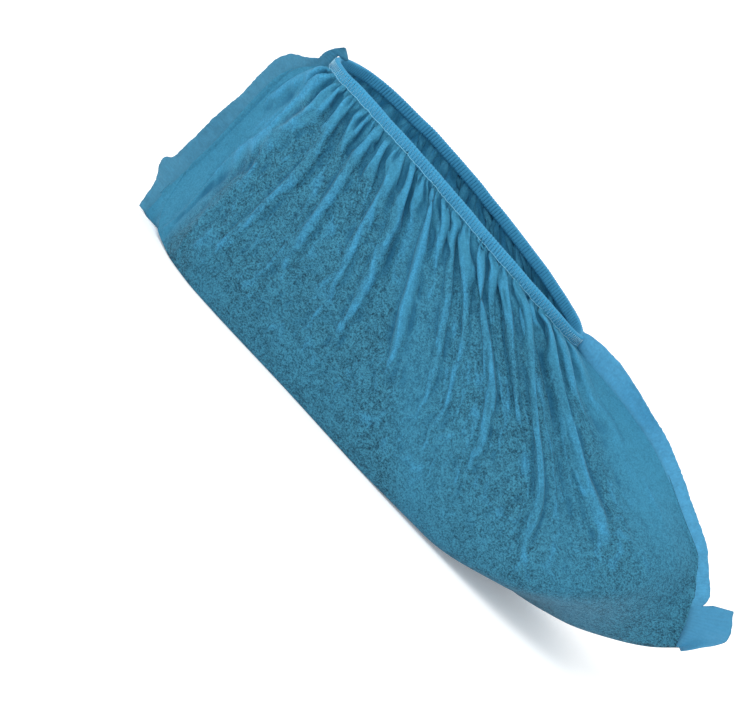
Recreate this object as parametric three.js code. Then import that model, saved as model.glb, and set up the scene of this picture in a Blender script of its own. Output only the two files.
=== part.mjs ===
// A disposable non-woven shoe cover in the form it takes when worn: one sheet folded along the sole, welded
// up at the heel and at the toe, and gathered round the opening by an elastic hem.
// Millimetres. +X points to the toe, +Z up. The origin lies on the inner face of the sole, midway along the
// shoe that the cover takes.
import * as THREE from "three";

// The shoe that fits in the cover
const SHOE_LENGTH = 292;
const SHOE_WIDTH = 104;

// The cover
const RIM_HEIGHT = 125; // height of the gathered rim beside the ankle, above the sole's underside
const RIM_LENGTH = 177; // the opening, from its heel end to its toe end
const RIM_WIDTH = 76;
const RIM_FRONT = 24; // how far the opening's toe end lies in front of the origin
const WALL = 1.2;
const GAP = 0.3; // clearance between pieces that meet

// The elastic hem round the opening
const HEM_HEIGHT = 6;
const HEM_THICKNESS = 3;
const HEM_GATHER_DEPTH = 0.35;
const HEM_GATHERS = 18; // along each side of the opening

// The welded seam allowances that stand out at the toe and the heel
const SEAM_WIDTH = 11;
const SEAM_THICKNESS = 1.2;

// How finely the sheet is divided
const COLUMNS = 72; // from the heel seam to the toe seam
const SOLE_ROWS = [0, 0.09, 0.18];
const WALL_ROWS = [0.26, 0.305, 0.36, 0.43, 0.5, 0.57, 0.64, 0.71, 0.78, 0.84, 0.89, 0.94, 1];
const SEAM_STEPS = 34;

// The sheet, one row for each section across it, from the heel seam to the toe seam. along is the share of
// the sheet's length. Each section runs from the centre of the sole up to the rim: x is a share of the
// shoe's length, y of half its width, z of the rim's height. The rim's own x is a share of the opening's
// length from its toe end, and its y of half its width. bow pushes the stretch under the sole forward.
const SECTION_COLUMNS = [
  "along", "soleX", "soleZ", "bow", "edgeX", "edgeY", "edgeZ", "lowX", "lowY", "lowZ",
  "midX", "midY", "midZ", "rimX", "rimY", "rimZ",
];
const SECTIONS = [
  [0.0, -0.583, 0.008, 0, -0.579, 0.0, 0.28, -0.577, 0.0, 0.38, -0.576, 0.0, 0.765, -1.0, 0.0, 0.98],
  [0.03, -0.566, 0.0, 0, -0.561, 0.11, 0.1, -0.553, 0.13, 0.26, -0.553, 0.13, 0.69, -0.985, 0.42, 0.985],
  [0.06, -0.532, 0.0, 0, -0.528, 0.28, 0.015, -0.522, 0.33, 0.15, -0.524, 0.31, 0.6, -0.962, 0.63, 0.99],
  [0.1, -0.475, 0.0, 0, -0.47, 0.5, 0.0, -0.48, 0.56, 0.12, -0.48, 0.54, 0.52, -0.922, 0.78, 0.995],
  [0.16, -0.41, 0.0, 0, -0.41, 0.64, 0.0, -0.415, 0.7, 0.11, -0.42, 0.68, 0.48, -0.86, 0.88, 1.0],
  [0.25, -0.32, 0.0, 0, -0.32, 0.69, 0.0, -0.32, 0.77, 0.11, -0.33, 0.77, 0.47, -0.765, 0.95, 1.0],
  [0.35, -0.21, 0.0, 0, -0.21, 0.71, 0.0, -0.205, 0.79, 0.11, -0.225, 0.83, 0.465, -0.665, 1.0, 0.998],
  [0.5, -0.03, 0.0, 0, -0.03, 0.8, 0.0, -0.025, 0.89, 0.115, -0.06, 0.88, 0.465, -0.51, 1.0, 0.985],
  [0.65, 0.123, 0.0, 0, 0.137, 0.87, 0.0, 0.137, 0.985, 0.14, 0.082, 0.87, 0.47, -0.355, 0.93, 0.968],
  [0.78, 0.27, 0.018, 0, 0.285, 0.96, 0.1, 0.272, 1.0, 0.22, 0.205, 0.82, 0.48, -0.215, 0.8, 0.95],
  [0.86, 0.385, 0.085, 0.002, 0.384, 0.85, 0.27, 0.355, 0.865, 0.35, 0.255, 0.66, 0.52, -0.125, 0.65, 0.936],
  [0.91, 0.455, 0.168, 0.004, 0.437, 0.58, 0.41, 0.392, 0.6, 0.485, 0.277, 0.48, 0.61, -0.07, 0.5, 0.925],
  [0.96, 0.513, 0.262, 0.006, 0.46, 0.25, 0.56, 0.413, 0.26, 0.62, 0.28, 0.21, 0.715, -0.025, 0.3, 0.912],
  [1.0, 0.548, 0.345, 0.008, 0.463, 0.0, 0.635, 0.4075, 0.0, 0.695, 0.274, 0.0, 0.82, 0.0, 0.0, 0.905],
].map((row) => Object.fromEntries(SECTION_COLUMNS.map((name, k) => [name, row[k]])));
const EDGE_SHARE = 0.26; // the sole's edge, as a share of the way from the fold to the rim
const LOW_SHARE = 0.36;
const MID_SHARE = 0.63;

// The main folds of each side: at is the share of the sheet's length, lean how far the foot lies towards
// the toe, half the fold's half width, from where it starts between the sole's fold (0) and the rim (1).
// depth is in wall thicknesses, outward if positive.
const FOLDS = {
  near: [
    { at: 0.2, lean: -0.03, half: 0.027, from: 0.42, depth: -1.2 },
    { at: 0.27, lean: -0.05, half: 0.028, from: 0.3, depth: 1.6 },
    { at: 0.345, lean: -0.03, half: 0.026, from: 0.45, depth: 1.2 },
    { at: 0.42, lean: -0.05, half: 0.032, from: 0.42, depth: -2.7 },
    { at: 0.475, lean: -0.04, half: 0.028, from: 0.4, depth: 1.5 },
    { at: 0.57, lean: -0.02, half: 0.027, from: 0.5, depth: -1.3 },
    { at: 0.64, lean: 0.0, half: 0.026, from: 0.34, depth: 1.6 },
    { at: 0.7, lean: 0.01, half: 0.025, from: 0.45, depth: -1.5 },
    { at: 0.76, lean: 0.02, half: 0.028, from: 0.28, depth: 2.2 },
    { at: 0.815, lean: 0.02, half: 0.026, from: 0.3, depth: -1.9 },
    { at: 0.865, lean: 0.03, half: 0.026, from: 0.28, depth: 2.0 },
    { at: 0.92, lean: 0.02, half: 0.024, from: 0.4, depth: -1.2 },
  ],
  far: [
    { at: 0.17, lean: -0.02, half: 0.027, from: 0.4, depth: 1.4 },
    { at: 0.24, lean: -0.04, half: 0.027, from: 0.4, depth: -1.6 },
    { at: 0.31, lean: -0.03, half: 0.028, from: 0.34, depth: 1.8 },
    { at: 0.4, lean: -0.02, half: 0.028, from: 0.5, depth: -1.6 },
    { at: 0.47, lean: 0.0, half: 0.03, from: 0.42, depth: 1.8 },
    { at: 0.54, lean: 0.0, half: 0.026, from: 0.5, depth: -1.7 },
    { at: 0.61, lean: 0.01, half: 0.028, from: 0.32, depth: 1.9 },
    { at: 0.68, lean: 0.01, half: 0.027, from: 0.4, depth: -2.0 },
    { at: 0.75, lean: 0.02, half: 0.029, from: 0.3, depth: 2.2 },
    { at: 0.82, lean: 0.02, half: 0.026, from: 0.38, depth: -1.7 },
    { at: 0.88, lean: 0.03, half: 0.026, from: 0.3, depth: 1.7 },
  ],
};
const FOLD_FADE = 0.35; // how far up a fold takes its full depth
const RIM_GATHER_DEPTH = 1.1; // the small gathers under the hem
const RIM_GATHER_SHARE = 0.3; // how far down the side they run

const clamp = THREE.MathUtils.clamp;
const smooth = (value, low, high) => THREE.MathUtils.smoothstep(value, low, high);

// A smooth function through a column of the table that never overshoots its points.
function through(column) {
  const at = SECTIONS.map((row) => row.along);
  const value = SECTIONS.map((row) => row[column]);
  const last = at.length - 1;
  const rise = at.slice(1).map((x, i) => (value[i + 1] - value[i]) / (x - at[i]));
  const slope = value.map((_, i) => {
    if (i === 0) return rise[0];
    if (i === last) return rise[last - 1];
    if (rise[i - 1] * rise[i] <= 0) return 0;
    const before = at[i] - at[i - 1];
    const after = at[i + 1] - at[i];
    const first = 2 * after + before;
    const second = after + 2 * before;
    return (first + second) / (first / rise[i - 1] + second / rise[i]);
  });
  return (u) => {
    let i = 0;
    while (i < last - 1 && u > at[i + 1]) i++;
    const span = at[i + 1] - at[i];
    const s = clamp((u - at[i]) / span, 0, 1);
    const s2 = s * s;
    const s3 = s2 * s;
    return (
      value[i] * (2 * s3 - 3 * s2 + 1) +
      slope[i] * span * (s3 - 2 * s2 + s) +
      value[i + 1] * (3 * s2 - 2 * s3) +
      slope[i + 1] * span * (s3 - s2)
    );
  };
}
const column = Object.fromEntries(
  Object.keys(SECTIONS[0])
    .filter((name) => name !== "along")
    .map((name) => [name, through(name)]),
);

// The five points that carry the half section at u, on one side (-1 near, +1 far).
function sectionPoints(u, side) {
  const halfShoe = SHOE_WIDTH / 2;
  const place = (x, y, z) =>
    new THREE.Vector3(
      SHOE_LENGTH * column[x](u),
      side * halfShoe * (y ? column[y](u) : 0),
      RIM_HEIGHT * column[z](u),
    );
  return [
    place("soleX", null, "soleZ"),
    place("edgeX", "edgeY", "edgeZ"),
    place("lowX", "lowY", "lowZ"),
    place("midX", "midY", "midZ"),
    new THREE.Vector3(
      RIM_FRONT + RIM_LENGTH * column.rimX(u),
      (side * RIM_WIDTH * column.rimY(u)) / 2,
      RIM_HEIGHT * column.rimZ(u) - HEM_HEIGHT,
    ),
  ];
}

// Where the smooth sheet lies: u runs along it and t from the sole's fold up to the rim.
function smoothSheet(u, t, side) {
  const [sole, edge, low, mid, rim] = sectionPoints(u, side);
  if (t <= EDGE_SHARE) {
    const s = t / EDGE_SHARE;
    const forward = 4 * s * (1 - s) * SHOE_LENGTH * column.bow(u);
    return sole.lerp(edge, s).add(new THREE.Vector3(forward, 0, 0));
  }
  const knots = [EDGE_SHARE, LOW_SHARE, MID_SHARE, 1];
  const points = [edge, low, mid, rim];
  const into = edge.clone().sub(sole).divideScalar(EDGE_SHARE).multiplyScalar(0.35);
  const slopes = [
    into,
    ...[1, 2].map((i) => points[i + 1].clone().sub(points[i - 1]).divideScalar(knots[i + 1] - knots[i - 1])),
    rim.clone().sub(mid).divideScalar(1 - MID_SHARE),
  ];
  const i = t < LOW_SHARE ? 0 : t < MID_SHARE ? 1 : 2;
  const span = knots[i + 1] - knots[i];
  const s = (t - knots[i]) / span;
  const s2 = s * s;
  const s3 = s2 * s;
  return new THREE.Vector3()
    .addScaledVector(points[i], 2 * s3 - 3 * s2 + 1)
    .addScaledVector(slopes[i], span * (s3 - 2 * s2 + s))
    .addScaledVector(points[i + 1], 3 * s2 - 2 * s3)
    .addScaledVector(slopes[i + 1], span * (s3 - s2));
}

// How far the folds and gathers lift the sheet off its smooth form.
function foldLift(u, t, side) {
  let lift = 0;
  for (const fold of side < 0 ? FOLDS.near : FOLDS.far) {
    const centre = fold.at + fold.lean * (1 - t);
    const across = (u - centre) / fold.half;
    if (Math.abs(across) >= 1) continue;
    const ends = smooth(t, fold.from, fold.from + FOLD_FADE);
    lift += fold.depth * WALL * ends * Math.cos((across * Math.PI) / 2) ** 2;
  }
  const gathered = smooth(t, 1 - RIM_GATHER_SHARE, 1);
  lift += RIM_GATHER_DEPTH * gathered * Math.cos(2 * Math.PI * HEM_GATHERS * u);
  const atHem = 1 - 0.72 * smooth(t, 0.88, 1); // the hem holds the rim almost even
  return lift * atHem * smooth(u, 0.02, 0.1) * (1 - smooth(u, 0.93, 0.99));
}

// The direction out of the smooth sheet: its normal, turned level towards the rim, which keeps the rim even.
function outward(u, t, side) {
  const step = 1e-3;
  const u0 = clamp(u, step, 1 - step);
  const t0 = clamp(t, step, 1 - step);
  const alongU = smoothSheet(u0 + step, t0, side).sub(smoothSheet(u0 - step, t0, side));
  const alongT = smoothSheet(u0, t0 + step, side).sub(smoothSheet(u0, t0 - step, side));
  const normal = alongT.cross(alongU).multiplyScalar(side).normalize();
  return normal.setZ(normal.z * (1 - smooth(t, 0.85, 1))).normalize();
}

function outerSheet(u, t, side) {
  return smoothSheet(u, t, side).addScaledVector(outward(u, t, side), foldLift(u, t, side));
}

// The inner face follows the outer one a wall's thickness in. Its ends stop short of the seams, where the
// two sides of the sheet come together.
const INNER_FROM = 0.022;
const INNER_TO = 0.985;
function innerSheet(u, t, side) {
  const inside = THREE.MathUtils.lerp(INNER_FROM, INNER_TO, u);
  return outerSheet(inside, t, side).addScaledVector(outward(inside, t, side), -WALL);
}

function meshOf(name, positions, indices, material) {
  const geometry = new THREE.BufferGeometry();
  geometry.setAttribute("position", new THREE.Float32BufferAttribute(positions, 3));
  geometry.setIndex(indices);
  geometry.computeVertexNormals();
  const mesh = new THREE.Mesh(geometry, material);
  mesh.name = name;
  return mesh;
}

// The body of the cover: the outer and the inner face, joined round the rim. Row j runs from the near rim
// (0) over the sole's fold to the far rim.
function coverBody(material) {
  const half = [...SOLE_ROWS, ...WALL_ROWS];
  const rows = [...half.slice(1).reverse().map((t) => [t, -1]), ...half.map((t) => [t, 1])];
  const lastRow = rows.length - 1;
  const positions = [];
  const indices = [];

  function layer(sheet) {
    const index = [];
    for (let i = 0; i <= COLUMNS; i++) {
      index.push([]);
      const closed = i === 0 || i === COLUMNS; // the near and the far side meet along a seam
      rows.forEach(([t, side], j) => {
        if (closed && j > lastRow / 2) {
          index[i].push(index[i][lastRow - j]);
          return;
        }
        const point = sheet(i / COLUMNS, t, side);
        if (closed || t === 0) {
          const other = sheet(i / COLUMNS, t, -side);
          point.add(other).divideScalar(2);
        }
        index[i].push(positions.length / 3);
        positions.push(point.x, point.y, point.z - WALL);
      });
    }
    return index;
  }
  function triangle(a, b, c) {
    if (a !== b && b !== c && c !== a) indices.push(a, b, c);
  }
  function quad(a, b, c, d) {
    triangle(a, b, c);
    triangle(a, c, d);
  }

  const outer = layer(outerSheet);
  const inner = layer(innerSheet);
  for (let i = 0; i < COLUMNS; i++) {
    for (let j = 0; j < lastRow; j++) {
      quad(outer[i][j], outer[i][j + 1], outer[i + 1][j + 1], outer[i + 1][j]);
      quad(inner[i][j], inner[i + 1][j], inner[i + 1][j + 1], inner[i][j + 1]);
    }
    quad(outer[i][0], outer[i + 1][0], inner[i + 1][0], inner[i][0]);
    quad(outer[i][lastRow], inner[i][lastRow], inner[i + 1][lastRow], outer[i + 1][lastRow]);
  }
  return meshOf("cover_body", positions, indices, material);
}

// The hem: a flattened tube round the opening that holds the elastic, standing on the body's rim.
function elasticHem(material) {
  const loop = [];
  for (let i = 0; i <= COLUMNS; i++) loop.push([i / COLUMNS, -1]);
  for (let i = COLUMNS - 1; i > 0; i--) loop.push([i / COLUMNS, 1]);
  const base = loop.map(([u, side]) => {
    const atSeam = u === 0 || u === 1;
    const n = outward(u, 1, side);
    const point = smoothSheet(u, 1, side).addScaledVector(n, -WALL / 2);
    if (atSeam) point.setY(0);
    return point;
  });
  const halfThick = HEM_THICKNESS / 2;
  const profile = [
    [halfThick, 0.3 * HEM_HEIGHT],
    [0.75 * halfThick, 0.9 * HEM_HEIGHT],
    [0, HEM_HEIGHT],
    [-0.75 * halfThick, 0.9 * HEM_HEIGHT],
    [-halfThick, 0.3 * HEM_HEIGHT],
    [-0.75 * halfThick, 0],
    [0.75 * halfThick, 0],
  ];
  const positions = [];
  const indices = [];
  const sides = profile.length;
  const count = loop.length;
  base.forEach((point, i) => {
    const before = base[(i + count - 1) % count];
    const after = base[(i + 1) % count];
    const tangent = after.clone().sub(before).setZ(0).normalize();
    const out = new THREE.Vector3(tangent.y, -tangent.x, 0);
    const [u] = loop[i];
    const atSeams = smooth(u, 0, 0.05) * (1 - smooth(u, 0.95, 1));
    const gather = HEM_GATHER_DEPTH * Math.cos(2 * Math.PI * HEM_GATHERS * u) * atSeams;
    profile.forEach(([across, up]) => {
      const swell = across > 0 ? gather : 0;
      const reach = across + swell;
      positions.push(point.x + out.x * reach, point.y + out.y * reach, point.z - WALL + GAP + up);
    });
    const next = (i + 1) % count;
    for (let k = 0; k < sides; k++) {
      const k1 = (k + 1) % sides;
      indices.push(i * sides + k, next * sides + k, next * sides + k1);
      indices.push(i * sides + k, next * sides + k1, i * sides + k1);
    }
  });
  return meshOf("elastic_hem", positions, indices, material);
}

// The welded seam allowances, from the fold of the sole up to the rim: width is the share of the full width
// that stands out, lean how far the free edge leans to the far side, in strip thicknesses. The toe's widens
// into a small ear at its foot.
const TOE_SEAM = [
  { at: 0.0, width: 0.36, lean: -1.0 },
  { at: 0.03, width: 1.33, lean: -1.5 },
  { at: 0.05, width: 1.67, lean: -1.5 },
  { at: 0.075, width: 1.85, lean: -1.0 },
  { at: 0.1, width: 1.94, lean: -0.7 },
  { at: 0.115, width: 2.03, lean: -0.6 },
  { at: 0.13, width: 0.46, lean: -0.4 },
  { at: 0.16, width: 0.62, lean: 1.8 },
  { at: 0.26, width: 0.42, lean: 2.2 },
  { at: 0.34, width: 0.48, lean: 2.8 },
  { at: 0.43, width: 0.5, lean: 2.5 },
  { at: 0.52, width: 0.53, lean: 1.0 },
  { at: 0.62, width: 0.6, lean: 0.0 },
  { at: 0.72, width: 0.73, lean: -1.6 },
  { at: 0.79, width: 0.86, lean: -1.2 },
  { at: 0.87, width: 0.96, lean: 0.0 },
  { at: 0.94, width: 0.91, lean: 0.8 },
  { at: 0.98, width: 0.74, lean: 1.0 },
];
const HEEL_SEAM = [
  { at: 0.0, width: 0.26, lean: 0.0 },
  { at: 0.05, width: 0.37, lean: 0.1 },
  { at: 0.1, width: 0.55, lean: 0.4 },
  { at: 0.135, width: 0.78, lean: 1.1 },
  { at: 0.165, width: 1.0, lean: 1.4 },
  { at: 0.19, width: 1.06, lean: 1.4 },
  { at: 0.212, width: 0.82, lean: 1.1 },
  { at: 0.235, width: 0.73, lean: 0.8 },
  { at: 0.3, width: 0.72, lean: 0.0 },
  { at: 0.43, width: 0.67, lean: -0.8 },
  { at: 0.52, width: 0.53, lean: -0.7 },
  { at: 0.63, width: 0.63, lean: 0.4 },
  { at: 0.705, width: 0.62, lean: 1.0 },
  { at: 0.76, width: 0.46, lean: 0.8 },
  { at: 0.82, width: 0.34, lean: 0.5 },
  { at: 0.9, width: 0.36, lean: 0.2 },
  { at: 1.0, width: 0.62, lean: 0.0 },
];
// The corner that the heel's allowance raises beside the hem: rise is the share of the hem's height.
const HEEL_CORNER = [
  { rise: 0.1, width: 0.62 },
  { rise: 0.6, width: 0.6 },
  { rise: 1.1, width: 0.5 },
  { rise: 1.6, width: 0.38 },
];

// A welded seam allowance: a strip that stands out from the ridge where the two sides meet.
function seamStrip(name, u, table, corner, material) {
  const forward = u === 0 ? -1 : 1;
  const positions = [];
  const indices = [];
  const ridge = (t) => outerSheet(u, t, -1).setY(0);
  function row(here, out, width, lean, rise, from) {
    const reach = SEAM_WIDTH * width;
    const middle = (from + reach) / 2;
    const corners = [[from, -1], [from, 1], [middle, 1], [reach, 1], [reach, -1], [middle, -1]];
    for (const [along, thick] of corners) {
      const aside = lean * SEAM_THICKNESS * (along / SEAM_WIDTH) ** 1.5;
      const y = (thick * SEAM_THICKNESS) / 2 + aside;
      positions.push(here.x + out.x * along, y, here.z - WALL + out.z * along + rise);
    }
  }
  for (let i = 0; i < table.length - 1; i++) {
    const [a, b] = [table[i], table[i + 1]];
    const steps = Math.max(1, Math.round((b.at - a.at) * SEAM_STEPS));
    for (let k = i === 0 ? 0 : 1; k <= steps; k++) {
      const s = k / steps;
      const t = THREE.MathUtils.lerp(a.at, b.at, s);
      const tangent = ridge(Math.min(t + 0.02, 1)).sub(ridge(Math.max(t - 0.02, 0))).normalize();
      const level = corner.length ? 1 - smooth(t, 0.8, 1) : 1; // level beside a corner, so that it joins on
      const out = new THREE.Vector3(forward * tangent.z, 0, -forward * tangent.x * level).normalize();
      const ease = s * s * (3 - 2 * s);
      const width = THREE.MathUtils.lerp(a.width, b.width, ease);
      const lean = THREE.MathUtils.lerp(a.lean, b.lean, ease);
      row(ridge(t), out, width, lean, 0, GAP);
    }
  }
  const level = new THREE.Vector3(forward, 0, 0);
  for (const { rise, width } of corner) {
    row(ridge(1), level, width, 0, rise * HEM_HEIGHT, HEM_THICKNESS / 2 + GAP);
  }
  const sides = 6;
  const rows = positions.length / 3 / sides;
  const facing = (face, outwards) => indices.push(...(outwards ? face : face.reverse()));
  for (let i = 0; i < rows - 1; i++) {
    for (let k = 0; k < sides; k++) {
      const k1 = (k + 1) % sides;
      const a = i * sides;
      const b = (i + 1) * sides;
      facing([a + k, b + k, b + k1, a + k, b + k1, a + k1], forward > 0);
    }
  }
  for (let k = 1; k < sides - 1; k++) {
    const last = (rows - 1) * sides;
    facing([0, k, k + 1], forward > 0);
    facing([last, last + k, last + k + 1], forward < 0);
  }
  return meshOf(name, positions, indices, material);
}

const nonWoven = new THREE.MeshStandardMaterial({ color: 0x3f8fb4, roughness: 0.85, metalness: 0 });
const gatheredEdge = new THREE.MeshStandardMaterial({ color: 0x4aa6d0, roughness: 0.8, metalness: 0 });
const weldedEdge = new THREE.MeshStandardMaterial({ color: 0x46a4d6, roughness: 0.7, metalness: 0 });

const cover = new THREE.Group();
cover.add(coverBody(nonWoven));
cover.add(elasticHem(gatheredEdge));
cover.add(seamStrip("toe_seam", 1, TOE_SEAM, [], weldedEdge));
cover.add(seamStrip("heel_seam", 0, HEEL_SEAM, HEEL_CORNER, weldedEdge));

export default cover;
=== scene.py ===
"""A disposable non-woven shoe cover in its worn form, on a pale floor under soft studio light."""
import math

import bpy
import numpy as np
from bpy.props import FloatProperty, FloatVectorProperty, PointerProperty
from mathutils import Matrix, Vector, noise


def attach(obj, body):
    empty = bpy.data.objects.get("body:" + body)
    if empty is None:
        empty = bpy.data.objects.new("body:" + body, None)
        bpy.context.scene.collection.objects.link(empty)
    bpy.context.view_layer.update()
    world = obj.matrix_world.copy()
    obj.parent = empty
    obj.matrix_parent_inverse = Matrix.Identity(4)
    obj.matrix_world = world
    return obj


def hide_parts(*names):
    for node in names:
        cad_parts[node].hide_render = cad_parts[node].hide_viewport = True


bl_info = {
    "name": "Disposable Shoe Cover",
    "version": (1, 0, 0),
    "blender": (4, 5, 0),
    "location": "View3D > Sidebar > Shoe Cover",
    "description": "Makes a gathered non-woven shoe cover and the studio round it",
    "category": "Add Mesh",
}

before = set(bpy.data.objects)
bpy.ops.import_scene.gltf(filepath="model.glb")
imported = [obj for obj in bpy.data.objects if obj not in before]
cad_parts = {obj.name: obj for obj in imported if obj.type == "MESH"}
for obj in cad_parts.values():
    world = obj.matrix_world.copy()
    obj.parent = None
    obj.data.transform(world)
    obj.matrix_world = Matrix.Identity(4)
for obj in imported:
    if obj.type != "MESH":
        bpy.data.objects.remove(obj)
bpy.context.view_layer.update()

MM = 0.001
# The width of the picture in pixels, and how far the cover's middle lies off its own, to the right and down.
PICTURE_WIDTH = 754
AIM_RIGHT, AIM_DOWN = 95.5, 24.5
# Rows of points on each half of the sole, and how often the sole's edge is smoothed.
SOLE_ROWS = 12
EDGE_ROUNDS = 30
# Points of each side's rim that the hem's path is measured on, points along and round the hem, and along
# and across each welded strip.
RIM_POINTS = 1601
HEM_POINTS, HEM_ROUND = 1680, 16
STRIP_POINTS, STRIP_STEPS = 261, 14
# The length in metres over which a strip's finish counts from 0 to 1, and the fine ribs on that length.
WELD_MEASURE, WELD_RIBS = 0.2, 140
# Points up the corner that the heel's strip raises beside the hem.
CORNER_POINTS = 30

# The sheet's sections, from the heel seam to the toe seam, each from the centre of the sole up to the rim.
# x is a share of the sole's length, y of half its width and z of the rim's height. The rim's x is a share of
# the opening's length from its toe end, and its y a share of half the opening's width.
SECTION_COLUMNS = (
    "along sole_x sole_z bow edge_x edge_y edge_z low_x low_y low_z mid_x mid_y mid_z rim_x rim_y rim_z"
).split()
SECTIONS = np.array([
    (0.0, -0.583, 0.008, 0, -0.579, 0.0, 0.28, -0.577, 0.0, 0.38, -0.576, 0.0, 0.765, -1.0, 0.0, 0.98),
    (0.03, -0.566, 0.0, 0, -0.561, 0.07, 0.1, -0.553, 0.08, 0.26, -0.553, 0.08, 0.69, -0.985, 0.36, 0.985),
    (0.06, -0.532, 0.0, 0, -0.528, 0.24, 0.015, -0.522, 0.25, 0.15, -0.524, 0.24, 0.6, -0.962, 0.58, 0.99),
    (0.1, -0.475, 0.0, 0, -0.47, 0.5, 0.0, -0.48, 0.56, 0.12, -0.48, 0.54, 0.52, -0.922, 0.78, 0.995),
    (0.16, -0.41, 0.0, 0, -0.41, 0.64, 0.0, -0.415, 0.7, 0.11, -0.42, 0.68, 0.48, -0.86, 0.88, 1.0),
    (0.25, -0.32, 0.0, 0, -0.32, 0.69, 0.0, -0.32, 0.77, 0.11, -0.33, 0.77, 0.47, -0.765, 0.95, 1.0),
    (0.35, -0.21, 0.0, 0, -0.21, 0.71, 0.0, -0.205, 0.79, 0.11, -0.225, 0.83, 0.465, -0.665, 1.0, 0.998),
    (0.5, -0.03, 0.0, 0, -0.03, 0.8, 0.0, -0.025, 0.89, 0.115, -0.06, 0.88, 0.465, -0.51, 1.0, 0.985),
    (0.65, 0.123, 0.0, 0, 0.137, 0.87, 0.0, 0.137, 0.985, 0.14, 0.082, 0.87, 0.47, -0.355, 0.93, 0.968),
    (0.78, 0.27, 0.018, 0, 0.285, 0.96, 0.1, 0.272, 1.0, 0.22, 0.205, 0.82, 0.48, -0.215, 0.8, 0.95),
    (0.86, 0.385, 0.085, 0.002, 0.384, 0.85, 0.27, 0.355, 0.865, 0.35, 0.255, 0.66, 0.52, -0.125, 0.65, 0.936),
    (0.91, 0.455, 0.168, 0.004, 0.437, 0.58, 0.41, 0.392, 0.6, 0.485, 0.277, 0.48, 0.61, -0.07, 0.5, 0.925),
    (0.96, 0.513, 0.262, 0.006, 0.46, 0.25, 0.56, 0.413, 0.26, 0.62, 0.28, 0.21, 0.715, -0.025, 0.3, 0.912),
    (1.0, 0.548, 0.345, 0.008, 0.463, 0.0, 0.635, 0.4075, 0.0, 0.695, 0.274, 0.0, 0.82, 0.0, 0.0, 0.905),
])
# Where the sections' edge, low and mid points lie on the way up from the sole's fold.
EDGE_SHARE, LOW_SHARE, MID_SHARE = 0.26, 0.36, 0.63
# How fast the sheet opens from flat at its two seams, as shares of its length.
HEEL_TAPER, TOE_TAPER = 0.022, 0.006

# The main folds: place along the sheet, how far the foot lies towards the toe, half width, lowest share of
# the way up, and height in millimetres, outward if positive.
NEAR_FOLDS = (
    (0.056, -0.008, 0.018, 0.3, -1.5),
    (0.077, -0.012, 0.0095, 0.2, 2.7),
    (0.125, -0.04, 0.02, 0.42, 1.3),
    (0.16, -0.03, 0.022, 0.5, -0.9),
    (0.2, -0.03, 0.025, 0.42, -1.3),
    (0.27, -0.05, 0.026, 0.3, 1.7),
    (0.345, -0.03, 0.022, 0.45, 1.3),
    (0.42, -0.05, 0.03, 0.42, -3.2),
    (0.475, -0.04, 0.022, 0.4, 1.6),
    (0.57, -0.02, 0.025, 0.5, -1.5),
    (0.64, 0.0, 0.022, 0.34, 1.8),
    (0.7, 0.01, 0.022, 0.45, -1.7),
    (0.76, 0.02, 0.024, 0.28, 2.6),
    (0.815, 0.02, 0.024, 0.3, -2.2),
    (0.865, 0.03, 0.02, 0.28, 2.4),
    (0.92, 0.02, 0.022, 0.4, -1.4),
)
FAR_FOLDS = (
    (0.056, -0.01, 0.018, 0.3, -1.0),
    (0.082, -0.015, 0.013, 0.25, 1.9),
    (0.17, -0.02, 0.024, 0.4, 1.6),
    (0.24, -0.04, 0.025, 0.4, -1.8),
    (0.31, -0.03, 0.024, 0.34, 2.0),
    (0.4, -0.02, 0.026, 0.5, -1.8),
    (0.47, 0.0, 0.024, 0.42, 2.1),
    (0.54, 0.0, 0.024, 0.5, -2.0),
    (0.61, 0.01, 0.024, 0.32, 2.2),
    (0.68, 0.01, 0.024, 0.4, -2.3),
    (0.75, 0.02, 0.025, 0.3, 2.6),
    (0.82, 0.02, 0.024, 0.38, -2.0),
    (0.88, 0.03, 0.022, 0.3, 2.0),
)
# The sheet is cut longer than the form it lies on, and the surplus buckles into gathers. These are its
# shares of extra length: everywhere, towards the rim, and close under the hem, where the elastic pulls.
SURPLUS = 0.014
RIM_SURPLUS = 0.13
HEM_SURPLUS = 0.5
# How far the sheet's upper edge reaches into the hem, in millimetres.
INTO_HEM = 1.6
# The painted shadow line of the crease that ends the heel's pouch: where it meets the rim, how far its foot
# lies towards the toe and its half width, all as shares of the sheet's length, and how dark its painted
# shadow is.
HEEL_CREASE, HEEL_CREASE_LEAN, HEEL_CREASE_HALF = 0.069, -0.013, 0.0045
HEEL_CREASE_SHADOW = 1.5
# How strongly the small creases are painted in the finish: pale painted highlight lines along them, a little
# painted shade beside.
CREASE_HIGHLIGHT_AND_SHADE = 1.3
# The highest that a fold stands, in millimetres, and how much wider it grows on its way down.
HIGHEST_FOLD = 4.2
FOLD_SPREAD = 0.9
# Each fold falls steeply on the side that it leans away from, from this share of its half width on.
STEEP_FROM = 0.4
# Short gathers that hang from the hem along each side: how many, their height in millimetres, how far down
# they start to fade and end, and the length of the sheet's side, on which that is measured.
SHORT_GATHERS = 42
SHORT_HEIGHT = 1.0
SHORT_FADE, SHORT_END = 4, 14
WALL_LENGTH = 160
# Links between the points of the web: steps along and up the sheet, and how firmly they hold their length.
LINKS = (
    (1, 0, 1.0),
    (0, 1, 1.0),
    (1, 1, 0.3),
    (1, -1, 0.3),
    (2, 0, 0.30),
    (0, 2, 0.15),
)
# The web settles on three grids, each twice as fine: columns, rows up a side, rounds, the millimetres of
# random ripple that it starts with, and how much of its stiffness against bending it keeps.
GRIDS = (
    (110, 24, 160, 0.9, 1.0),
    (220, 48, 80, 0.35, 0.5),
    (440, 96, 40, 0.12, 0.15),
)

# In millimetres: the height at which the bands below are placed, and how far the far side's lie towards
# the heel.
BAND_HEIGHT = 60
FAR_BAND_SHIFT = 25
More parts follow.
